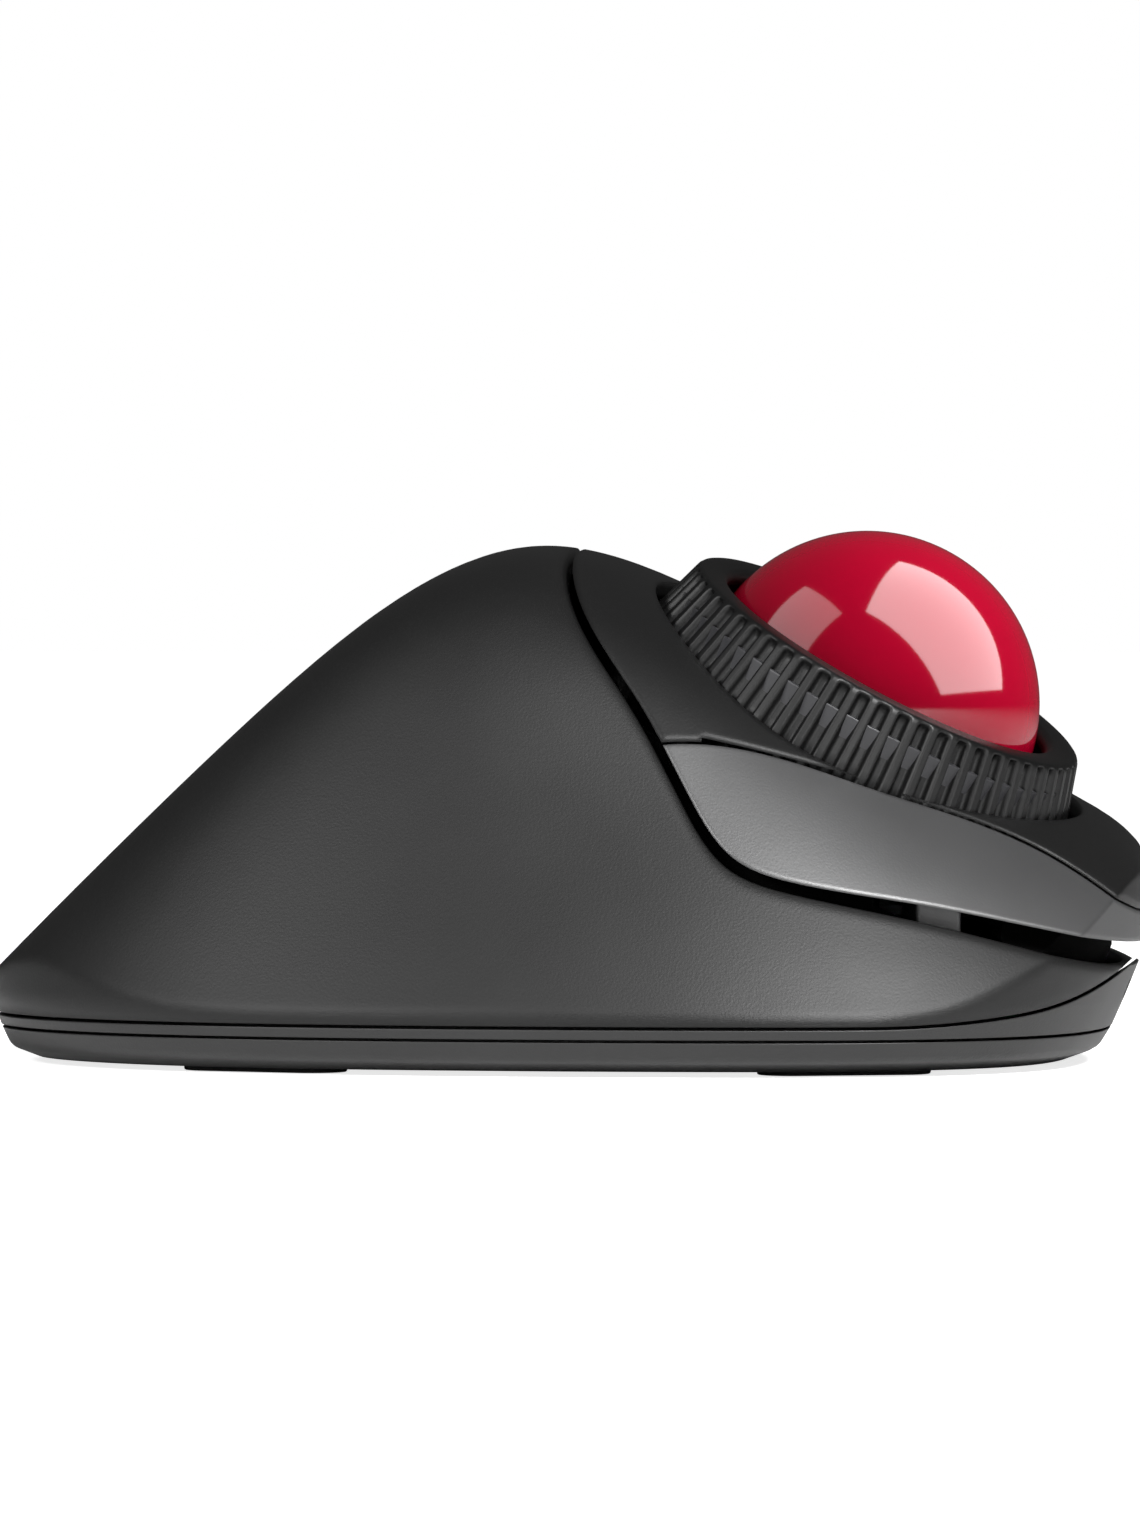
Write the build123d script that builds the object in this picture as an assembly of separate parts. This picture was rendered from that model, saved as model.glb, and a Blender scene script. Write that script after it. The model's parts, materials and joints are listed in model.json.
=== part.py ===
"""Finger-operated trackball with a palm rest and a scroll ring, as an assembly of separate parts.

Millimetres. +Y is forward (away from the user), +X is the user's right, +Z is up. The origin is on
the desk, under the middle of the case. Each part is written to parts/NAME.step.
"""
import os
from functools import lru_cache
from math import cos, exp, hypot, log, radians, sin

from build123d import *

# ---------------------------------------------------------------- driving dimensions
REAR_Y, FRONT_Y = -66.8, 66.8        # ends of the case outline
SIDE_X = 50.0                        # half width of the case
BALL_R = 20.0
BALL_AT = Vector(0, 34.5, 41.4)
TILT_FORWARD, TILT_RIGHT = 28.5, 8.0  # lean of the ring axis, degrees
RIB_COUNT = 60
WALL = 2.0                           # thickness of the casings
FLOOR_Z = 2.6                        # top of the tray floor
TRAY_BOTTOM_Z, TRAY_TOP_Z = 0.6, 4.0
BAND_Z = 4.35                        # underside of the middle band
SKIRT_Z = 5.85                       # lower edge of the palm shell
BAND_TOP_Z = 11.6                    # top of the band at the front
RUNNING = 0.08                       # radial clearance of the scroll ring on its collar

# ---------------------------------------------------------------- frame of the ball and ring
RING_AXIS = Vector(
    sin(radians(TILT_RIGHT)),
    cos(radians(TILT_RIGHT)) * sin(radians(TILT_FORWARD)),
    cos(radians(TILT_RIGHT)) * cos(radians(TILT_FORWARD)),
)
RING_ACROSS = (cos(radians(TILT_RIGHT)), 0, -sin(radians(TILT_RIGHT)))
RING_PLANE = Plane(origin=BALL_AT, x_dir=RING_ACROSS, z_dir=RING_AXIS)
RING_PLACE = RING_PLANE.location

# ring frame: radius from the axis, and height s above the ball's centre
HOLE_R = 27.9                        # hole in the deck around the ring
PANEL_EDGE_R = 28.9                  # edge of the main buttons around the ring
COLLAR_R = 22.3                      # collar that the ring turns on
FLANGE_TOP_S, FLANGE_R = -10.6, 30.6
RING_TOP_S, RING_LOW_S = 5.7, -2.9

# ---------------------------------------------------------------- outline, roof and casing solids
OUTLINE = [(20, -62.5), (36, -48), (45.5, -26), (49.5, 0), (50, 22), (46, 44), (33, 59.5), (15, 65.7)]

# height, front end, rear end, and how far the sides are drawn in
LEVELS = [
    (TRAY_BOTTOM_Z, 58.0, -61.5, 6.0),
    (1.8, 61.3, -64.6, 2.8),
    (4.2, 62.8, -65.7, 1.4),
    (7.6, 64.3, REAR_Y, 0.0),
    (13.5, 66.7, REAR_Y, 0.0),
    (85.0, FRONT_Y, REAR_Y, 0.0),
]


def outline(front, rear, inset):
    """The plan outline as a face, with its ends at front and rear and its sides drawn in."""
    def moved(x, y):
        end = front / FRONT_Y if y > 0 else rear / REAR_Y
        return x * (1 - inset / SIDE_X), y * end
    right = [moved(x, y) for x, y in OUTLINE]
    left = [(-x, y) for x, y in reversed(right)]
    return make_face(Spline([(0, rear), *right, (0, front), *left], periodic=True))


@lru_cache(maxsize=None)
def hull(inset):
    """Everything inside the outline at every height, drawn in by inset; the inner ones reach lower."""
    (_, front, rear, side), *others = LEVELS
    bottom = -1.0 - inset if inset else TRAY_BOTTOM_Z
    levels = [(bottom, front, rear, side), *others]
    outlines = [Pos(0, 0, z) * outline(f - inset, r + inset, i + inset) for z, f, r, i in levels]
    return loft(outlines, ruled=True)


def soft_min(a, b, sharpness):
    """The lower of two heights, with a rounded change between them."""
    return min(a, b) - log(1 + exp(-sharpness * abs(a - b))) / sharpness


def flank_line(y):
    """Distance of the flank planes from the middle."""
    reach = 90.0 if y < 12 else 80.0
    return SIDE_X * (1 - ((y - 12) / reach) ** 2) ** 0.5


def roof(x, y, inset=0.0):
    """Height of the casing at x, y: sloping planes blended into a hump, a deck, a nose and two flanks."""
    def plane(height, slope):
        return height - inset * hypot(1, slope)

    rear = plane(9.9 + (y - REAR_Y) * 0.98, 0.98)
    crown = 0.0065 if x > 0 else 0.0035
    deck = plane(56.1 - (y - 10.4) * 0.56 - 0.12 * x - crown * x * x, 0.56)
    nose = plane(22.0 - (y - 67.5) * 2.5, 2.5)
    right = plane(7.2 + (flank_line(y) - x) * 2.1, 2.1)
    left = plane(7.2 + (flank_line(y) + x) * 2.5, 2.5)
    top = soft_min(soft_min(rear, deck, 0.0855), nose, 0.4)
    hollow = 2.6 * exp(-(((abs(x) - 37) / 9) ** 2) - ((y - 4) / 24) ** 2)
    return soft_min(top, soft_min(right, left, 0.13), 0.13) - hollow


@lru_cache(maxsize=None)
def body(inset):
    """The closed case drawn in by inset."""
    xs = [-60 + 4 * i for i in range(31)]
    ys = [-74 + 4 * i for i in range(38)]
    points = [[Vector(x, y, roof(x, y, inset)) for y in ys] for x in xs]
    surface = Face.make_surface_from_array_of_points(points, tol=0.001, min_deg=3, max_deg=8)
    return hull(inset) & extrude(surface, amount=120, dir=(0, 0, -1))


@lru_cache(maxsize=None)
def skin(outer, inner):
    """The casing between two insets."""
    return body(outer) - body(inner)


# ---------------------------------------------------------------- seams, as curves in the side view (y, z)
PALM_EDGE = [(-0.5, 58.5), (3.2, 50.0), (9.6, 40.8), (15.8, 30.2), (21.2, 23.2), (28.8, 20.3), (42.9, 17.2),
             (58.1, 13.2), (74, 9.2)]
DECK_EDGE = [(0.6, 58.7), (4.4, 50.4), (10.7, 41.4), (16.9, 30.8), (22.1, 24.3), (29.3, 21.6), (42.9, 19.2),
             (58.1, 16.0), (74, 12.8)]
SKIRT_EDGE = [(38, SKIRT_Z), (51.8, 6.7), (58.2, 8.0), (63.5, 10.6), (74, 21)]
BUTTON_TOP = [(11.0, 36.8), (17.8, 37.1), (36.6, 32.1), (55.4, 24.9), (66.2, 17.8), (74, 11.5)]
SKY, GROUND, FAR = 90.0, -5.0, 80.0


def side_points(points, rise=0.0):
    """Side view points as points in space, raised by rise."""
    return [(0, y, z + rise) for y, z in points]


def seam_curve(points):
    """A seam that starts straight down through the top of the hump."""
    low = Spline(side_points(points))
    return Line((0, points[0][0], SKY), low @ 0) + low


def shifted(points, by):
    """A seam moved forward and up by the same amount."""
    return [(y + by, z + by) for y, z in points]


def behind(points):
    """Everything on the palm side of a seam."""
    (y_start, _), (y_end, z_end) = points[0], points[-1]
    corners = [(0, y_end, z_end), (0, y_end, GROUND), (0, -FAR, GROUND), (0, -FAR, SKY), (0, y_start, SKY)]
    closing = Polyline(*corners)
    return extrude(make_face(seam_curve(points) + closing), amount=FAR, both=True)


def under_curve(points, rise=0.0):
    """Everything below a curve in the side view."""
    curve = Spline(side_points(points, rise))
    (y0, _), (y1, _) = points[0], points[-1]
    closing = Polyline(curve @ 1, (0, y1, GROUND), (0, y0, GROUND), curve @ 0)
    return extrude(make_face(curve + closing), amount=FAR, both=True)


def under_skirt(drop=0.0):
    """Everything below the palm shell's lower edge, which rises towards the front."""
    curve = Line((0, -FAR, SKIRT_Z - drop), (0, SKIRT_EDGE[0][0], SKIRT_Z - drop))
    rise = Spline(side_points(SKIRT_EDGE, -drop), tangents=[(0, 1, 0), (0, 1, 1)])
    front = SKIRT_EDGE[-1][0]
    closing = Polyline(rise @ 1, (0, front, GROUND), (0, -FAR, GROUND), (0, -FAR, SKIRT_Z - drop))
    return extrude(make_face(curve + rise + closing), amount=80, both=True)


def box_between(low, high):
    """A box from its lowest to its highest corner."""
    size = [b - a for a, b in zip(low, high)]
    centre = [(a + b) / 2 for a, b in zip(low, high)]
    return Pos(*centre) * Box(*size)


def rod(x, y, z_low, z_high, r):
    """A vertical cylinder."""
    return Pos(x, y, (z_low + z_high) / 2) * Cylinder(r, z_high - z_low)


def turned(edges):
    """A solid of revolution in the ring frame, from edges drawn in its XZ plane."""
    return RING_PLACE * revolve(make_face(edges), Axis.Z)


def ring_tube(r_in, r_out, s_low, s_high):
    """A plain tube around the ring axis."""
    section = [(r_in, 0, s_low), (r_out, 0, s_low), (r_out, 0, s_high), (r_in, 0, s_high)]
    return turned(Polyline(*section, close=True))


def ring_point(radius, angle, s):
    """A point in the ring frame, as a location there."""
    a = radians(angle)
    return RING_PLACE * Pos(radius * cos(a), radius * sin(a), s)


def mirrored(shape):
    return mirror(shape, about=Plane.YZ)


# ---------------------------------------------------------------- places of fasteners
PALM_BOSSES = [(22, -50), (-22, -50), (38, -6), (-38, -6)]
SOCKET_POSTS = [(22, 43), (-24, 43), (24, 17), (-24, 19)]
BOARD_POSTS = [(28, 12), (-33, 30), (31, 30), (-14, 52), (14, 52)]
DECK_SCREW_ANGLES = (60, 120, 240, 300)
CASE_PILOT_R, CASE_SHANK_R, CASE_HEAD_R = 1.15, 1.1, 2.4
FEET = [(31, -32, 68), (-31, -32, -68), (34, 34, -72), (-34, 34, 72)]

# ---------------------------------------------------------------- battery bay
BAY_LOW = (-9.0, -53.0)
BAY_HIGH = (15.0, 1.4)
DOOR_GAP = 0.4
DOOR_Z = (0.8, 2.4)
DOOR_HINGE_Y, DOOR_HINGE_Z = -51.6, 1.6
CELL_R, CELL_LENGTH = 7.25, 50.5
CELL_AT = (-1.2, -24.2, 10.4)
HINGE_PIN_R = 0.6

# ---------------------------------------------------------------- boards
BOARD_Z = (6.0, 7.6)
POWER_AT = (-20.0, 24.5)
POWER_TRAVEL = 2.5
SWITCH_AT = {"right": (31.0, 44.5), "left": (-31.0, 44.5)}
SWITCH_TOP_Z = 14.1
PLUNGER_TOP_Z = 15.2
PRESS_GAP = 0.15


# ---------------------------------------------------------------- lower case
def make_base_tray():
    shell = hull(0) & box_between((-FAR, -FAR, 0), (FAR, FAR, TRAY_TOP_Z))
    rim_edges = [e for e in shell.edges() if abs(e.center().Z - 1.8) < 0.05 and e.length > 50]
    shell = fillet(rim_edges, 2.0)
    shell -= hull(4.0) & box_between((-FAR, -FAR, FLOOR_Z), (FAR, FAR, SKY))
    tongue = (hull(2.7) - hull(4.0)) & box_between((-FAR, -FAR, FLOOR_Z - 0.3), (FAR, FAR, 6.4))
    tray = shell + tongue
    for x, y in PALM_BOSSES + SOCKET_POSTS:
        tray += rod(x, y, FLOOR_Z - 0.2, TRAY_TOP_Z, 4.2)
        tray -= rod(x, y, -1, FLOOR_Z, CASE_HEAD_R + 0.2)
        tray -= rod(x, y, -1, TRAY_TOP_Z + 1, CASE_SHANK_R + 0.2)
    for x, y in BOARD_POSTS:
        tray += rod(x, y, FLOOR_Z - 0.2, BOARD_Z[0] - 0.05, 2.3) - rod(x, y, FLOOR_Z, 9, 0.85)
    wall = 1.6
    bay = box_between((BAY_LOW[0] - wall, BAY_LOW[1] - wall, FLOOR_Z - 0.3),
                      (BAY_HIGH[0] + wall, BAY_HIGH[1] + wall, 14.0))
    bay -= box_between((*BAY_LOW, 0), (*BAY_HIGH, 20))
    tray = tray + bay
    tray -= box_between((*BAY_LOW, -1), (*BAY_HIGH, FLOOR_Z + 1))
    pin_span = BAY_HIGH[0] - BAY_LOW[0] + 3.4
    tray -= Pos((BAY_LOW[0] + BAY_HIGH[0]) / 2, DOOR_HINGE_Y, DOOR_HINGE_Z) * (
        Rot(0, 90, 0) * Cylinder(HINGE_PIN_R + RUNNING, pin_span))
    power_x, power_y = POWER_AT
    tray -= box_between((power_x - 5.2, power_y - 2.2, -1), (power_x + 5.2, power_y + 2.2, FLOOR_Z + 1))
    for x, y, angle in FEET:
        tray -= foot(x, y, angle, 0.05, (0, TRAY_BOTTOM_Z + 0.35))
    return tray


def foot(x, y, angle, grow, z):
    """A long rubber pad, or the pocket that holds it."""
    shape = SlotOverall(20 + 2 * grow, 8 + 2 * grow, rotation=angle)
    return Pos(x, y, z[0]) * extrude(shape, z[1] - z[0])


def make_rubber_feet():
    return Compound([fillet(foot(x, y, a, 0, (0, TRAY_BOTTOM_Z + 0.3)).faces().sort_by(Axis.Z)[0].edges(), 0.25)
                     for x, y, a in FEET])


def make_mid_band():
    levels = box_between((-FAR, -FAR, BAND_Z), (FAR, FAR, BAND_TOP_Z))
    band = (hull(0) - hull(2.4)) & levels & under_skirt(0.4)
    window = Pos(0, FRONT_Y - 3, 8.7) * Rot(90, 0, 0) * extrude(SlotOverall(7.0, 2.1), 8, both=True)
    return band - window


def make_status_lens():
    lens = Pos(0, 62.0, 8.7) * Rot(90, 0, 0) * extrude(SlotOverall(6.8, 1.9), 1.0, both=True)
    return lens + box_between((-4.5, 58.6, 7.4), (4.5, 61.0, 10.0))


# ---------------------------------------------------------------- upper case
def make_palm_shell():
    region = behind(PALM_EDGE) - under_skirt()
    shell = skin(0, WALL) & region
    inside = body(1.0)
    for x, y in PALM_BOSSES:
        post = rod(x, y, TRAY_TOP_Z + 0.1, 60, 3.2) & inside
        shell += post
        shell -= rod(x, y, 0, 16, CASE_PILOT_R)
    return shell


def button_zone(rise):
    """The side view region of the main buttons, below their top line and above the seam."""
    zone = under_curve(BUTTON_TOP, rise) - behind(DECK_EDGE)
    return zone & box_between((4, -FAR, GROUND), (FAR, FAR, SKY))


def slot_zone():
    """The narrow slot above the right button, from its hinge to the ring."""
    slot = under_curve([(17.6, 37.9), (36.6, 32.9), (40, 31.8)], 0) - under_curve(BUTTON_TOP, 0)
    return slot & box_between((4, 17.6, GROUND), (FAR, 40, SKY))


CREASE = 0.3                         # gap between a main button and the deck away from the slot


def make_top_deck():
    deck = skin(0, WALL) - behind(DECK_EDGE)
    deck -= ring_tube(0, HOLE_R, -30, 40)
    opening = button_zone(CREASE) + slot_zone()
    around_ring = ring_tube(0, PANEL_EDGE_R - CREASE, -30, 40)
    cut = opening + mirrored(opening)
    deck -= cut
    beside_buttons = under_curve(BUTTON_TOP, 1.0) - body(3.7)
    collar = (ring_tube(28.6, 30.2, FLANGE_TOP_S + 0.1, 12) & body(0.8)) - beside_buttons
    deck += collar - side_pocket()
    for angle in DECK_SCREW_ANGLES:
        boss = ring_point(30.6, angle, 0) * Cylinder(2.6, 30) & ring_tube(28.6, 40, FLANGE_TOP_S + 0.1, 12)
        deck += boss & body(3.7)
        deck -= ring_point(30.6, angle, FLANGE_TOP_S + 1.5) * Cylinder(0.9, 5.0)
    return deck


def make_main_button(side):
    """A button panel in the skin of the deck, with a post over its switch and an arm out to the panel."""
    zone = button_zone(0) if side == "right" else mirrored(button_zone(0))
    panel = (skin(0, WALL) & zone) - ring_tube(0, PANEL_EDGE_R, -30, 40)
    x, y = SWITCH_AT[side]
    outward = 1 if x > 0 else -1
    post = box_between((x - 1.2, y - 2.5, PLUNGER_TOP_Z + PRESS_GAP), (x + 1.2, y + 2.5, 27.0))
    near, far = sorted((x, x + 9 * outward))
    arm = box_between((near, y - 2.5, 22.5), (far, y + 2.5, 27.0))
    return panel + ((post + arm) & body(1.0) & under_curve(BUTTON_TOP, -0.3))


def make_seam_lip():
    """Dark strip glued inside the palm shell, which closes the view through the gap under the deck.

    It is notched around the two click switches.
    """
    strip = body(3.9) & (behind(shifted(DECK_EDGE, 1.2)) - behind(shifted(PALM_EDGE, -2.5)))
    root = body(2.05) & (behind(shifted(PALM_EDGE, -1.0)) - behind(shifted(PALM_EDGE, -3.5)))
    ahead = box_between((-FAR, 14, SKIRT_Z + 1.5), (FAR, FAR, SKY))
    lip = ((strip + root) & ahead) - body(5.6) - under_skirt(-1.5)
    lip = lip - ring_tube(0, 34, -40, 40) - side_pocket()
    for x, y in SWITCH_AT.values():
        lip -= box_between((x - 3.6, y - 7.2, 0), (x + 3.6, y + 7.2, SKY))
    return max(lip.solids(), key=lambda piece: piece.volume)


# ---------------------------------------------------------------- ball and scroll ring
def make_ball():
    return Pos(*BALL_AT) * Sphere(BALL_R)


def make_ball_socket():
    """Cup, collar and flange, standing on four posts."""
    ball_space = Sphere(20.5) + Pos(0, 0, 10) * Cylinder(20.5, 20)
    cup = Sphere(22.5) - Pos(0, 0, 27) * Box(60, 60, 60)
    collar = Pos(0, 0, 0.1) * Cylinder(COLLAR_R, 6.8)
    flange = Pos(0, 0, FLANGE_TOP_S - 1) * Cylinder(FLANGE_R, 2.0)
    rail = Pos(0, 0, -9.7) * (Cylinder(28.2, 2.2) - Cylinder(25.9, 2.2))
    lugs = [Rot(0, 0, a) * (Pos(30.6, 0, FLANGE_TOP_S - 1) * Cylinder(2.6, 2.0)) for a in DECK_SCREW_ANGLES]
    socket = (RING_PLACE * ((cup + collar + flange + rail + lugs) - ball_space)) & body(2.8)
    below_flange = ring_tube(0, 70, -90, FLANGE_TOP_S - 1.0)
    keep_out = Pos(*BALL_AT) * Sphere(21.5)
    for x, y in SOCKET_POSTS:
        post = (rod(x, y, TRAY_TOP_Z + 0.1, 60, 3.0) & below_flange) - keep_out
        socket += post
        socket -= rod(x, y, 0, 14, CASE_PILOT_R)
    for x in (-9, 9):
        pillar = rod(x, BALL_AT.Y, 15.0, 30, 2.0) - keep_out
        socket += pillar
        socket -= rod(x, BALL_AT.Y, 14, 18.5, 0.8)
    socket -= rod(0, BALL_AT.Y, 10, BALL_AT.Z, 4.0)
    for place in support_places():
        socket -= place * Sphere(1.27)
    for angle in DECK_SCREW_ANGLES:
        socket -= ring_point(30.6, angle, FLANGE_TOP_S) * Cylinder(1.15, 5)
    return socket - side_pocket()


def support_places():
    """Centres of the three balls that carry the trackball, 50 degrees up from the bottom of the cup."""
    reach = BALL_R + 1.25 + 0.01
    across, along = reach * sin(radians(50)), -reach * cos(radians(50))
    return [ring_point(across, angle, along) for angle in (90, 210, 330)]


def make_support_balls():
    return Compound([place * Sphere(1.25) for place in support_places()])


def make_scroll_ring():
    bore = COLLAR_R + RUNNING
    profile = (
        Polyline((20.8, 0, 4.0), (20.8, 0, 5.0), (21.5, 0, RING_TOP_S), (24.0, 0, RING_TOP_S), (24.9, 0, 4.9),
                 (27.4, 0, RING_LOW_S), (27.4, 0, -6.9), (28.3, 0, -7.1), (28.3, 0, -7.9), (25.4, 0, -7.9),
                 (25.4, 0, 2.6), (23.4, 0, 2.6), (23.4, 0, -3.9), (bore, 0, -3.9), (bore, 0, 4.0), close=True)
    )
    ring = turned(profile)
    step = 360 / RIB_COUNT
    lean = 18.0                      # the ring's wall opens downwards by this angle
    grooves = []
    for i in range(RIB_COUNT):
        groove = Rot(0, 0, i * step) * Pos(26.2, 0, 0.8) * Rot(0, -lean, 0) * Cylinder(0.7, 7.0)
        grooves.append(RING_PLACE * groove)
    return ring - grooves


def make_encoder_ring():
    """Slotted skirt pressed up inside the scroll ring, read by the ring sensor."""
    hub = ring_tube(23.45, 25.35, -3.6, 2.4)
    skirt = ring_tube(24.0, 24.8, -8.7, -3.5)
    slots = [RING_PLACE * (Rot(0, 0, i * 7.5) * (Pos(24.4, 0, -7.4) * Box(3, 1.5, 2.0))) for i in range(48)]
    return hub + (skirt - slots)


def make_glide_ring():
    return ring_tube(26.0, 28.1, -8.55, -7.92)


def make_ring_sensor():
    """Forked light sensor that straddles the slotted skirt, at the back of the ring."""
    fork = Pos(24.0, 0, -8.15) * Box(2.5, 5.0, 4.0)
    fork -= Pos(24.4, 0, -7.0) * Box(1.1, 6.0, 4.4)
    return RING_PLACE * (Rot(0, 0, -90) * fork)


def make_deck_screws():
    screws = []
    for angle in DECK_SCREW_ANGLES:
        shank = Pos(0, 0, FLANGE_TOP_S - 0.2) * Cylinder(0.85, 5.6)
        head = Pos(0, 0, FLANGE_TOP_S - 2.75) * Cylinder(1.8, 1.3)
        screws.append(ring_point(30.6, angle, 0) * (shank + head))
    return Compound(screws)


# ---------------------------------------------------------------- boards and sensors
def make_sensor_lens():
    x, y = 0, BALL_AT.Y
    return rod(x, y, 17.6, 20.6, 3.9) + rod(x, y, 17.0, 18.2, 4.6) - rod(x, y, 16, 18.8, 1.6)


def make_optical_sensor():
    return box_between((-5, BALL_AT.Y - 6, 15.1), (5, BALL_AT.Y + 6, 16.9)) - rod(9, BALL_AT.Y, 10, 20, 2.2) - rod(
        -9, BALL_AT.Y, 10, 20, 2.2)


def make_sensor_board():
    board = box_between((-13, BALL_AT.Y - 10, 13.7), (13, BALL_AT.Y + 10, 14.9))
    for x in (-9, 9):
        board -= rod(x, BALL_AT.Y, 13, 16, 1.0)
    return board


def make_sensor_ribbon():
    y = BALL_AT.Y - 8
    return box_between((-4, y, BOARD_Z[1] + 0.05), (4, y + 0.3, 13.65))


def make_main_board():
    plan = Polyline((-35, 6), (35, 6), (39, 26), (36, 43), (29, 53), (-29, 53), (-36, 43), (-39, 26), close=True)
    board = Pos(0, 0, BOARD_Z[0]) * extrude(make_face(plan), BOARD_Z[1] - BOARD_Z[0])
    for x, y in SOCKET_POSTS:
        board -= rod(x, y, 0, 20, 3.4)
    for x, y in BOARD_POSTS:
        board -= rod(x, y, 0, 20, 1.1)
    return board


def make_board_screws():
    screws = [rod(x, y, 3.2, BOARD_Z[1] + 0.05, 0.8) + rod(x, y, BOARD_Z[1] + 0.05, BOARD_Z[1] + 1.3, 1.9)
              for x, y in BOARD_POSTS]
    for x in (-9, 9):
        screws.append(rod(x, BALL_AT.Y, 13.6, 18.0, 0.75) + rod(x, BALL_AT.Y, 12.4, 13.65, 1.7))
    return Compound(screws)


def make_radio_module():
    return box_between((8, 10, BOARD_Z[1] + 0.05), (20, 22, BOARD_Z[1] + 2.0)) - rod(24, 17, 0, 20, 3.2)


def make_switch(side):
    x, y = SWITCH_AT[side]
    case = box_between((x - 2.9, y - 6.4, BOARD_Z[1] + 0.05), (x + 2.9, y + 6.4, SWITCH_TOP_Z))
    return case - box_between((x - 1.55, y - 0.75, 11.5), (x + 1.55, y + 0.75, 20))


def make_plunger(side):
    x, y = SWITCH_AT[side]
    return box_between((x - 1.45, y - 0.65, 12.6), (x + 1.45, y + 0.65, PLUNGER_TOP_Z))


def make_status_led():
    return box_between((-1.6, 54.6, BOARD_Z[1] + 0.05), (1.6, 56.4, 9.8))


def make_power_switch():
    x, y = POWER_AT
    case = box_between((x - 4.4, y - 1.9, 4.1), (x + 4.4, y + 1.9, BOARD_Z[0] - 0.05))
    return case - box_between((x - 2.9, y - 0.9, 3), (x + 2.9, y + 0.9, 5.2))


def make_power_slider():
    x, y = POWER_AT
    x -= POWER_TRAVEL / 2
    knob = box_between((x - 3.2, y - 1.9, 1.0), (x + 3.2, y + 1.9, 2.9)) + box_between(
        (x - 1.4, y - 0.75, 2.9), (x + 1.4, y + 0.75, 4.8))
    grips = [box_between((x - 2.0 + i * 1.2, y - 2.2, 0.7), (x - 1.6 + i * 1.2, y + 2.2, 1.35)) for i in range(4)]
    return knob - grips


# ---------------------------------------------------------------- small buttons on the left shoulder
SMALL_BUTTONS = {"dpi": (-28.0, 8.6), "back": (-32.0, 14.6), "forward": (-33.8, 22.8)}
SMALL_SIZES = {"dpi": (5.2, 5.2), "back": (7.4, 5.2), "forward": (8.6, 5.2)}
DOME_TOP = -4.6                      # top of the side switches' domes, below the skin at the middle button
DOME_HEIGHT, SIDE_SWITCH_HEIGHT, SIDE_BOARD_THICKNESS = 0.5, 1.3, 0.8


def roof_normal(x, y):
    """Outward normal of the roof."""
    h = 0.5
    slope_x = (roof(x + h, y) - roof(x - h, y)) / (2 * h)
    slope_y = (roof(x, y + h) - roof(x, y - h)) / (2 * h)
    return Vector(-slope_x, -slope_y, 1).normalized()


def on_roof(name):
    x, y = SMALL_BUTTONS[name]
    return Vector(x, y, roof(x, y))


SIDE_PLANE = Plane(
    origin=on_roof("back"),
    x_dir=on_roof("forward") - on_roof("dpi"),
    z_dir=roof_normal(*SMALL_BUTTONS["back"]),
)
SIDE_PLACE = SIDE_PLANE.location


def small_local(name):
    """Place of a small button in the side plane, and the height of the skin there."""
    local = SIDE_PLANE.to_local_coords(on_roof(name))
    return local.X, local.Y, local.Z


def small_prism(name, grow, low, high):
    """A rounded prism along the button's travel."""
    x, y, _ = small_local(name)
    length, width = SMALL_SIZES[name]
    shape = RectangleRounded(length + 2 * grow, width + 2 * grow, min(length, width) / 2 - 0.3 + grow)
    return SIDE_PLACE * (Pos(x, y, low) * extrude(shape, high - low))


def make_small_button(name):
    """Cap, retaining flange under the skin, and stem down to the switch."""
    x, y, z = small_local(name)
    cap = small_prism(name, 0, z - 2.6, z + 12) & body(-0.5)
    flange = small_prism(name, 0.5, z - 3.3, z - 2.3) & body(WALL + 0.15)
    low = DOME_TOP + PRESS_GAP
    stem = SIDE_PLACE * (Pos(x, y, low) * extrude(Circle(1.2), z - 2.4 - low))
    return cap + flange + stem


def make_small_switch(name):
    x, y, _ = small_local(name)
    top = DOME_TOP - DOME_HEIGHT
    case = Pos(x, y, top - SIDE_SWITCH_HEIGHT / 2) * Box(4.2, 4.2, SIDE_SWITCH_HEIGHT)
    return SIDE_PLACE * (case - Pos(x, y, top) * Cylinder(1.45, 2.0))


def make_small_plunger(name):
    x, y, _ = small_local(name)
    return SIDE_PLACE * (Pos(x, y, DOME_TOP - 0.55) * Cylinder(1.35, 1.1))


def side_strip(grow, low, high):
    """A block under the three small buttons, between two depths."""
    (x0, y0, _), (x1, y1, _) = small_local("dpi"), small_local("forward")
    width = abs(y1 - y0) + 4.6 + 2 * grow
    strip = Box(abs(x1 - x0) + 5.5 + 2 * grow, width, high - low)
    return SIDE_PLACE * (Pos((x0 + x1) / 2, (y0 + y1) / 2, (low + high) / 2) * strip)


def side_pocket():
    """Room for the side board and its switches."""
    return side_strip(1.8, -8.4, 3.0)


def make_side_board():
    high = DOME_TOP - DOME_HEIGHT - SIDE_SWITCH_HEIGHT
    return side_strip(0, high - SIDE_BOARD_THICKNESS, high)


def make_side_cable():
    """Round cable from the side board down to the main board."""
    depth = DOME_TOP - DOME_HEIGHT - SIDE_SWITCH_HEIGHT - SIDE_BOARD_THICKNESS - 1.1
    start = SIDE_PLANE.from_local_coords(Vector(0, 0, depth))
    path = Spline([start, Vector(-35.5, 11, 26), Vector(-36, 10, 16), Vector(-34, 11, BOARD_Z[1] + 1.0)])
    return sweep(Plane(path @ 0, z_dir=path % 0) * Circle(0.8), path)


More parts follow.
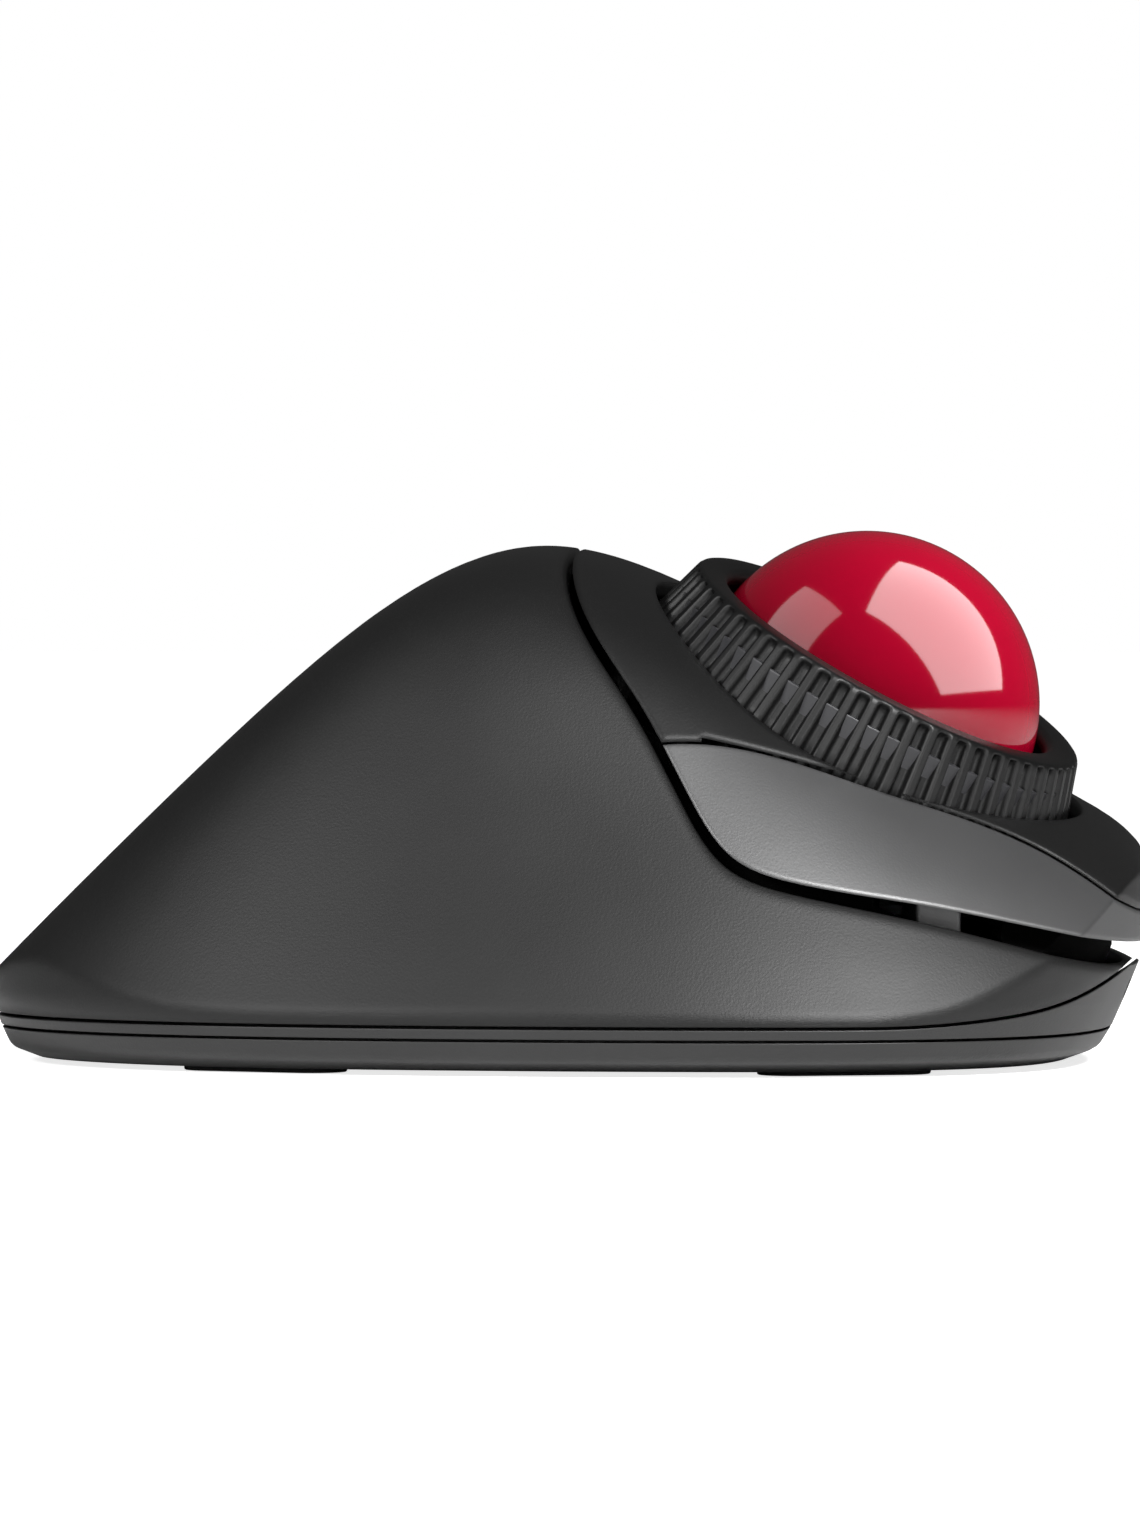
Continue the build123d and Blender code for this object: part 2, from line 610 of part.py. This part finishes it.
# ---------------------------------------------------------------- power and fasteners
def make_battery():
    x, y, z = CELL_AT
    can = Rot(90, 0, 0) * Cylinder(CELL_R, CELL_LENGTH - 1.2)
    button = Pos(0, CELL_LENGTH / 2 - 0.6, 0) * (Rot(90, 0, 0) * Cylinder(2.7, 1.2))
    return Pos(x, y, z) * (Pos(0, -0.6, 0) * can + button)


def make_battery_plate():
    x, _, z = CELL_AT
    y = BAY_HIGH[1]
    return box_between((x - 5, y - 0.35, z - 5), (x + 5, y - 0.03, z + 5))


def make_battery_spring():
    x, y, z = CELL_AT
    back = BAY_LOW[1] + 0.45
    free = (y - CELL_LENGTH / 2) - back - 0.4
    coil = Helix(pitch=free / 3, height=free, radius=3.2)
    wire = sweep(Plane(coil @ 0, z_dir=coil % 0) * Circle(0.3), coil, is_frenet=True)
    return Pos(x, back, z) * (Rot(-90, 0, 0) * wire)


def make_battery_door():
    low = (BAY_LOW[0] + DOOR_GAP, BAY_LOW[1] + DOOR_GAP, DOOR_Z[0])
    high = (BAY_HIGH[0] - DOOR_GAP, BAY_HIGH[1] - DOOR_GAP, DOOR_Z[1])
    door = box_between(low, high)
    door = fillet(door.edges().filter_by(Axis.X).group_by(Axis.Y)[0], 0.7)
    pins = Pos((low[0] + high[0]) / 2, DOOR_HINGE_Y, DOOR_HINGE_Z) * (
        Rot(0, 90, 0) * Cylinder(HINGE_PIN_R, high[0] - low[0] + 3.2))
    grip = Pos((low[0] + high[0]) / 2, high[1] - 6, DOOR_Z[0]) * (Rot(0, 90, 0) * Cylinder(0.8, 10))
    grips = [Pos(0, -2.2 * i, 0) * grip for i in range(3)]
    return (door + pins) - grips


def make_usb_receiver():
    plug = box_between((8.2, -34, 3.2), (12.7, -21, 15.2))
    head = box_between((7.6, -40.5, 2.9), (13.4, -34, 16.6))
    return fillet(head.edges().filter_by(Axis.Y), 1.0) + plug


def make_case_screws():
    screws = []
    for x, y in PALM_BOSSES + SOCKET_POSTS:
        screws.append(rod(x, y, 1.0, FLOOR_Z - 0.05, CASE_HEAD_R) + rod(x, y, FLOOR_Z - 0.1, 11.0, CASE_SHANK_R))
    return Compound(screws)


PARTS = {
    "base_tray": make_base_tray,
    "rubber_feet": make_rubber_feet,
    "mid_band": make_mid_band,
    "status_lens": make_status_lens,
    "palm_shell": make_palm_shell,
    "seam_lip": make_seam_lip,
    "top_deck": lambda: make_top_deck() - [small_prism(n, 0.25, -12, 12) for n in SMALL_BUTTONS],
    "right_button": lambda: make_main_button("right"),
    "left_button": lambda: make_main_button("left"),
    "ball": make_ball,
    "ball_socket": make_ball_socket,
    "support_balls": make_support_balls,
    "scroll_ring": make_scroll_ring,
    "encoder_ring": make_encoder_ring,
    "glide_ring": make_glide_ring,
    "ring_sensor": make_ring_sensor,
    "deck_screws": make_deck_screws,
    "sensor_lens": make_sensor_lens,
    "optical_sensor": make_optical_sensor,
    "sensor_board": make_sensor_board,
    "sensor_ribbon": make_sensor_ribbon,
    "main_board": make_main_board,
    "board_screws": make_board_screws,
    "radio_module": make_radio_module,
    "right_switch": lambda: make_switch("right"),
    "left_switch": lambda: make_switch("left"),
    "right_plunger": lambda: make_plunger("right"),
    "left_plunger": lambda: make_plunger("left"),
    "status_led": make_status_led,
    "power_switch": make_power_switch,
    "power_slider": make_power_slider,
    "side_board": make_side_board,
    "side_cable": make_side_cable,
    "battery": make_battery,
    "battery_plate": make_battery_plate,
    "battery_spring": make_battery_spring,
    "battery_door": make_battery_door,
    "usb_receiver": make_usb_receiver,
    "case_screws": make_case_screws,
}
for _name in SMALL_BUTTONS:
    PARTS[f"{_name}_button"] = lambda n=_name: make_small_button(n)
    PARTS[f"{_name}_switch"] = lambda n=_name: make_small_switch(n)
    PARTS[f"{_name}_plunger"] = lambda n=_name: make_small_plunger(n)


def main():
    os.makedirs("parts", exist_ok=True)
    for name, make in PARTS.items():
        export_step(make(), f"parts/{name}.step")


main()
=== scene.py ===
"""Looks of the trackball mouse: its ring and ball as fine meshes, finishes, studio light and camera."""
import json
from math import cos, pi, radians, sin

import bmesh
import bpy
from mathutils import Matrix, Vector


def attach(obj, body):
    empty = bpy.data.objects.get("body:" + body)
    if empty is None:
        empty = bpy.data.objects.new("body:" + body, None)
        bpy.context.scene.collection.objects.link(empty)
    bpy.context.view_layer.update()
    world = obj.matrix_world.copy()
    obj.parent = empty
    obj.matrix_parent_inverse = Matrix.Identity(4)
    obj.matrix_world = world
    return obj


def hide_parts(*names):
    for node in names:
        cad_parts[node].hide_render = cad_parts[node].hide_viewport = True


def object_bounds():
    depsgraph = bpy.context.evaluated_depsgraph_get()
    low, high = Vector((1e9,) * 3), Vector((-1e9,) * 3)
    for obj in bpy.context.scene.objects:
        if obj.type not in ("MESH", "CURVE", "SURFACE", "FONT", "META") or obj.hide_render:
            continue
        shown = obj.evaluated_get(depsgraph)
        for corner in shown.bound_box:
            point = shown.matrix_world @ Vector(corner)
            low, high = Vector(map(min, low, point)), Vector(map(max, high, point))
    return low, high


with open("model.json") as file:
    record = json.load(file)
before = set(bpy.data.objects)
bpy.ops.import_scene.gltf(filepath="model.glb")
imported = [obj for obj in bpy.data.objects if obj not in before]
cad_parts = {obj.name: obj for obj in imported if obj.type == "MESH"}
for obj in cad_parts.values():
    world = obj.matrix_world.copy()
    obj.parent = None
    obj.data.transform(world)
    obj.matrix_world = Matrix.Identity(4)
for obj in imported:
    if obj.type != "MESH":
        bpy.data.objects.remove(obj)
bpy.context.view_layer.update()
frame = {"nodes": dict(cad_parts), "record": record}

MM = 0.001
ring_joint = next(j for j in frame["record"]["behaviour"]["joints"] if j["name"] == "ring_turn")
BALL_CENTRE = Vector(ring_joint["pos_m"])
RING_AXIS = Vector(ring_joint["axis"])
BALL_R = 20 * MM
RIB_COUNT = 60
STEPS_PER_RIB = 12
RIB_DEPTH = 1.2  # millimetres, as are the radii and heights of the ring below
PLAIN_INSIDE_R = 24.3

# Where the lights on the case aim, in metres
FLANK = Vector((0.04, 0.03, 0.02))
REAR_FLANK = Vector((0.03, -0.05, 0.01))
FOOT_OF_FLANK = Vector((0.04, 0, 0.0))
AMBIENT = 0.06

FLOOR_HALF_WIDTH = 6.0
GLOW_NEAR, GLOW_FAR = 0.78, 1.0

VIEW_TARGET = Vector((0, 0, 0.0348))
VIEW_AZIMUTH, VIEW_ELEVATION = radians(95), radians(1)
VIEW_DISTANCE = 1.3
VIEW_HEIGHT = 0.1764
SENSOR_MM = 36


# ---------------------------------------------------------------- materials
def mottle(tree, place, shader, colour, roughness):
    """Varies the colour and the roughness a little over the surface."""
    noise = tree.nodes.new("ShaderNodeTexNoise")
    noise.inputs["Scale"].default_value = 70
    noise.inputs["Detail"].default_value = 6
    tree.links.new(place.outputs["Object"], noise.inputs["Vector"])
    rough = tree.nodes.new("ShaderNodeMapRange")
    rough.inputs["To Min"].default_value = max(0.02, roughness * 0.9)
    rough.inputs["To Max"].default_value = min(1.0, roughness * 1.1)
    tree.links.new(noise.outputs["Fac"], rough.inputs["Value"])
    tree.links.new(rough.outputs["Result"], shader.inputs["Roughness"])
    tone = tree.nodes.new("ShaderNodeMix")
    tone.data_type = "RGBA"
    tone.inputs["A"].default_value = (*[c * 0.9 for c in colour], 1)
    tone.inputs["B"].default_value = (*[min(1, c * 1.1) for c in colour], 1)
    tree.links.new(noise.outputs["Fac"], tone.inputs["Factor"])
    tree.links.new(tone.outputs["Result"], shader.inputs["Base Color"])


def relief(tree, place, shader, rounding, grain):
    """Rounds the edges in the shading, and lays fine pits over them where there is a grain."""
    rounded = tree.nodes.new("ShaderNodeBevel")
    rounded.samples = 8
    rounded.inputs["Radius"].default_value = rounding
    tree.links.new(rounded.outputs["Normal"], shader.inputs["Normal"])
    if grain:
        pits = tree.nodes.new("ShaderNodeTexNoise")
        pits.inputs["Scale"].default_value = 1 / 0.0003
        pits.inputs["Detail"].default_value = 3
        tree.links.new(place.outputs["Object"], pits.inputs["Vector"])
        bump = tree.nodes.new("ShaderNodeBump")
        bump.inputs["Strength"].default_value = grain
        bump.inputs["Distance"].default_value = 0.0001
        tree.links.new(pits.outputs["Fac"], bump.inputs["Height"])
        tree.links.new(rounded.outputs["Normal"], bump.inputs["Normal"])
        tree.links.new(bump.outputs["Normal"], shader.inputs["Normal"])


def plastic(name, colour, roughness, grain=0.0, coat=0.0, metallic=0.0, shine=0.5, rounding=0.0003):
    """A moulded finish, with its edges rounded by a radius in metres."""
    made = bpy.data.materials.new(name)
    made.use_nodes = True
    tree = made.node_tree
    shader = tree.nodes["Principled BSDF"]
    place = tree.nodes.new("ShaderNodeTexCoord")
    mottle(tree, place, shader, colour, roughness)
    relief(tree, place, shader, rounding, grain)
    shader.inputs["Coat Weight"].default_value = coat
    shader.inputs["Metallic"].default_value = metallic
    shader.inputs["Specular IOR Level"].default_value = shine
    return made


def grey(level):
    return (level, level, level)


SLOT_LOOKS = {
    "soft_touch_black": dict(colour=grey(0.005), roughness=0.48, grain=0.2, shine=0.4, rounding=0.0025),
    "panel_grey": dict(colour=(0.04, 0.04, 0.0405), roughness=0.4, grain=0.15, shine=1.0, rounding=0.0008),
    "dark_plastic": dict(colour=grey(0.016), roughness=0.45, grain=0.3),
    "ring_black": dict(colour=grey(0.002), roughness=0.45, grain=0.1, shine=0.35, rounding=0.0002),
    "ball_red": dict(colour=(0.2, 0.0, 0.01), roughness=0.07),
    "ceramic": dict(colour=(0.8, 0.8, 0.78), roughness=0.1),
    "lens_smoke": dict(colour=grey(0.004), roughness=0.08, coat=0.5),
    "lens_clear": dict(colour=(0.6, 0.62, 0.65), roughness=0.05, coat=0.5),
    "rubber_black": dict(colour=grey(0.015), roughness=0.85, grain=0.4),
    "ptfe_white": dict(colour=(0.8, 0.8, 0.77), roughness=0.5),
    "encoder_film": dict(colour=(0.02, 0.02, 0.022), roughness=0.4),
    "chip_black": dict(colour=grey(0.01), roughness=0.6, grain=0.3),
    "plunger_red": dict(colour=(0.4, 0.02, 0.02), roughness=0.4),
    "dome_steel": dict(colour=grey(0.6), roughness=0.3, metallic=1.0),
    "board_green": dict(colour=(0.01, 0.11, 0.04), roughness=0.35),
    "ribbon_white": dict(colour=(0.7, 0.7, 0.68), roughness=0.5),
    "screw_steel": dict(colour=grey(0.12), roughness=0.35, metallic=1.0),
    "shield_steel": dict(colour=grey(0.6), roughness=0.3, metallic=1.0),
    "led_white": dict(colour=(0.8, 0.8, 0.75), roughness=0.2),
    "cell_wrap": dict(colour=(0.02, 0.02, 0.022), roughness=0.25),
    "receiver_black": dict(colour=(0.012, 0.012, 0.013), roughness=0.3),
}
SLOT_FINISHES = {slot: plastic(slot, **look) for slot, look in SLOT_LOOKS.items()}
NODE_FINISHES = {
    # The deck's near-black finish, darker than the button panels, is partly its own dark plastic and partly
    # painted shade over the deck near the ring and hump.
    "top_deck": plastic("deck_dark_and_shaded", grey(0.006), 0.46, grain=0.2, shine=0.3, rounding=0.0012),
    # The seam lip is a real inner lip, but its near-black, matt, almost unreflecting finish is painted shade
    # so the gap between shells reads as dark shadow.
    "seam_lip": plastic("gap_painted_shade", grey(0.001), 0.9, shine=0.05),
}


def finish_nodes():
    """Gives every CAD node its own finish if it has one, or else the finish of its material slot."""
    slots = {part["node"]: part["material_slot"] for part in frame["record"]["subparts"]}
    for node, obj in frame["nodes"].items():
        obj.data.materials.clear()
        obj.data.materials.append(NODE_FINISHES.get(node, SLOT_FINISHES[slots[node]]))


# ---------------------------------------------------------------- ring and ball
def smooth_object(name, mesh):
    """An object for the mesh, in the scene and shaded smooth."""
    for face in mesh.polygons:
        face.use_smooth = True
    obj = bpy.data.objects.new(name, mesh)
    bpy.context.scene.collection.objects.link(obj)
    return obj


def ring_matrix():
    """Takes the ring's own frame, with its axis along Z, to its place around the ball."""
    across = Vector((0, 1, 0)).cross(RING_AXIS).normalized()
    ahead = RING_AXIS.cross(across)
    turn = Matrix((across, ahead, RING_AXIS)).transposed().to_4x4()
    return Matrix.Translation(BALL_CENTRE) @ turn


def turned_mesh(name, profile, steps, radius_at):
    """A mesh swept round the ring axis from a closed profile of (radius, height) in millimetres."""
    place = ring_matrix()
    verts = []
    for i in range(steps):
        angle = 2 * pi * i / steps
        for r, height in profile:
            r = radius_at(r, height, angle)
            verts.append(place @ Vector((r * cos(angle) * MM, r * sin(angle) * MM, height * MM)))
    count = len(profile)
    faces = []
    for i in range(steps):
        here, there = i * count, ((i + 1) % steps) * count
        for j in range(count):
            k = (j + 1) % count
            faces.append((here + j, there + j, there + k, here + k))
    mesh = bpy.data.meshes.new(name)
    mesh.from_pydata(verts, [], faces)
    mesh.update()
    return smooth_object(name, mesh)


def ramp(x, low, high):
    """Rises smoothly from 0 at low to 1 at high."""
    t = min(1.0, max(0.0, (x - low) / (high - low)))
    return t * t * (3 - 2 * t)


def ribbed_radius(radius, height, angle):
    """The outer wall dips between ribs; the dips run out at the rolled top rim and the bottom flange."""
    if radius < PLAIN_INSIDE_R:
        return radius
    groove = ramp(0.5 - 0.5 * cos(RIB_COUNT * angle), 0.3, 0.65)
    fade = (1 - ramp(height, 4.7, 5.4)) * ramp(height, -7.0, -6.4)
    return radius - RIB_DEPTH * groove * fade


def make_ring():
    """The scroll ring, with rounded ribs and rolled rims."""
    top_rim = [(24.0, 5.7), (24.3, 5.65), (24.6, 5.48), (24.82, 5.2), (24.95, 4.85)]
    wall = [(24.95 + 0.245 * k, 4.85 - 0.775 * k) for k in range(1, 11)]
    flange = [(27.4, -4.5), (27.4, -6.3), (27.4, -6.9), (28.3, -7.1), (28.3, -7.9)]
    underside = [(25.4, -7.9), (25.4, 2.6), (23.4, 2.6), (23.4, -3.9)]
    bore = [(22.38, -3.9), (22.38, 3.95), (20.8, 4.05), (20.8, 4.9), (20.95, 5.2), (21.3, 5.55), (21.6, 5.7)]
    profile = top_rim + wall + flange + underside + bore
    ring = turned_mesh("ring_ribbed", profile[::-1], RIB_COUNT * STEPS_PER_RIB, ribbed_radius)
    ring.data.materials.append(SLOT_FINISHES["ring_black"])
    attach(ring, "ring")
    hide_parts("scroll_ring")


def make_ball():
    """The ball as a fine sphere."""
    mesh = bpy.data.meshes.new("ball_polished")
    work = bmesh.new()
    bmesh.ops.create_icosphere(work, subdivisions=6, radius=BALL_R, matrix=Matrix.Translation(BALL_CENTRE))
    work.to_mesh(mesh)
    work.free()
    mesh.materials.append(SLOT_FINISHES["ball_red"])
    ball = smooth_object("ball_polished", mesh)
    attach(ball, "ball")
    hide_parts("ball")
    return ball


# ---------------------------------------------------------------- studio
def aim(obj, target, back, distance):
    """Puts a light or a camera back from the target and turns it to face the target."""
    obj.location = target + back * distance
    obj.rotation_mode = "QUATERNION"
    obj.rotation_quaternion = back.to_track_quat("Z", "Y")
    bpy.context.scene.collection.objects.link(obj)


def softbox(name, ball, target, back, distance, size, power, on_ball=False):
    """A soft rectangular light that lights either the ball alone or everything but the ball."""
    light = bpy.data.lights.new(name, "AREA")
    light.shape = "RECTANGLE"
    light.size, light.size_y = size
    light.energy = power
    obj = bpy.data.objects.new(name, light)
    aim(obj, target, Vector(back).normalized(), distance)
    linked = bpy.data.collections.new(name + "_linked")
    linked.objects.link(ball)
    linked.collection_objects[0].light_linking.link_state = "INCLUDE" if on_ball else "EXCLUDE"
    obj.light_linking.receiver_collection = linked


def make_lights(ball):
    """A window ahead of the ball and a card behind it, mirrored in the ball, and three on the case."""
    softbox("window", ball, BALL_CENTRE, (0.13, 0.69, 0.70), 0.5, (0.62, 0.8), 12.5, on_ball=True)
    softbox("rear_card", ball, BALL_CENTRE, (0.3, -0.66, 0.69), 0.7, (0.5, 0.6), 2.6, on_ball=True)
    softbox("flank", ball, FLANK, (0.66, 0.4, 0.62), 0.8, (0.24, 0.24), 12.0)
    softbox("rear_flank", ball, REAR_FLANK, (0.7, -0.6, 0.5), 0.9, (0.4, 0.15), 5.0)
    softbox("low_side", ball, FOOT_OF_FLANK, (1, 0.1, 0.1), 1.0, (0.9, 0.08), 1.2)


def make_world():
    """A white world that lights the scene only weakly, but shows white to the camera."""
    world = bpy.data.worlds.new("studio")
    world.use_nodes = True
    nodes, links = world.node_tree.nodes, world.node_tree.links
    seen = nodes.new("ShaderNodeLightPath")
    level = nodes.new("ShaderNodeMapRange")
    level.inputs["To Min"].default_value = AMBIENT
    level.inputs["To Max"].default_value = 1.0
    links.new(seen.outputs["Is Camera Ray"], level.inputs["Value"])
    links.new(level.outputs["Result"], nodes["Background"].inputs["Strength"])
    nodes["Background"].inputs["Color"].default_value = (1, 1, 1, 1)
    bpy.context.scene.world = world


def paper_floor_material():
    """Pale paper that glows to the camera, and more with distance, so that shadow shows only near the part."""
    paper = plastic("paper", grey(0.8), 0.9)
    nodes, links = paper.node_tree.nodes, paper.node_tree.links
    shader = nodes["Principled BSDF"]
    place = nodes.new("ShaderNodeTexCoord")
    away = nodes.new("ShaderNodeVectorMath")
    away.operation = "LENGTH"
    links.new(place.outputs["Object"], away.inputs[0])
    glow = nodes.new("ShaderNodeMapRange")
    glow.inputs["From Min"].default_value = 0.1
    glow.inputs["From Max"].default_value = 0.6
    glow.inputs["To Min"].default_value = GLOW_NEAR
    glow.inputs["To Max"].default_value = GLOW_FAR
    links.new(away.outputs["Value"], glow.inputs["Value"])
    seen = nodes.new("ShaderNodeLightPath")
    to_camera = nodes.new("ShaderNodeMath")
    to_camera.operation = "MULTIPLY"
    links.new(seen.outputs["Is Camera Ray"], to_camera.inputs[0])
    links.new(glow.outputs["Result"], to_camera.inputs[1])
    links.new(to_camera.outputs["Value"], shader.inputs["Emission Strength"])
    shader.inputs["Emission Color"].default_value = (1, 1, 1, 1)
    shader.inputs["Specular IOR Level"].default_value = 0.0
    return paper


def make_floor():
    """The plain pale surface under the feet."""
    mesh = bpy.data.meshes.new("floor")
    side = FLOOR_HALF_WIDTH
    corners = [(-side, -side, 0), (side, -side, 0), (side, side, 0), (-side, side, 0)]
    mesh.from_pydata(corners, [], [(0, 1, 2, 3)])
    floor = bpy.data.objects.new("floor", mesh)
    bpy.context.scene.collection.objects.link(floor)
    floor.location.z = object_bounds()[0].z
    mesh.materials.append(paper_floor_material())


def make_camera():
    """A long lens nearly level with the desk, on the right side and slightly ahead of square."""
    level = cos(VIEW_ELEVATION)
    back = Vector((sin(VIEW_AZIMUTH) * level, -cos(VIEW_AZIMUTH) * level, sin(VIEW_ELEVATION)))
    camera = bpy.data.cameras.new("camera")
    camera.lens = SENSOR_MM * VIEW_DISTANCE / VIEW_HEIGHT
    camera.clip_start, camera.clip_end = 0.05, 30
    obj = bpy.data.objects.new("camera", camera)
    aim(obj, VIEW_TARGET, back, VIEW_DISTANCE)
    bpy.context.scene.camera = obj


finish_nodes()
make_ring()
polished_ball = make_ball()
make_floor()
make_lights(polished_ball)
make_world()
make_camera()
bpy.context.scene.view_settings.view_transform = "Standard"
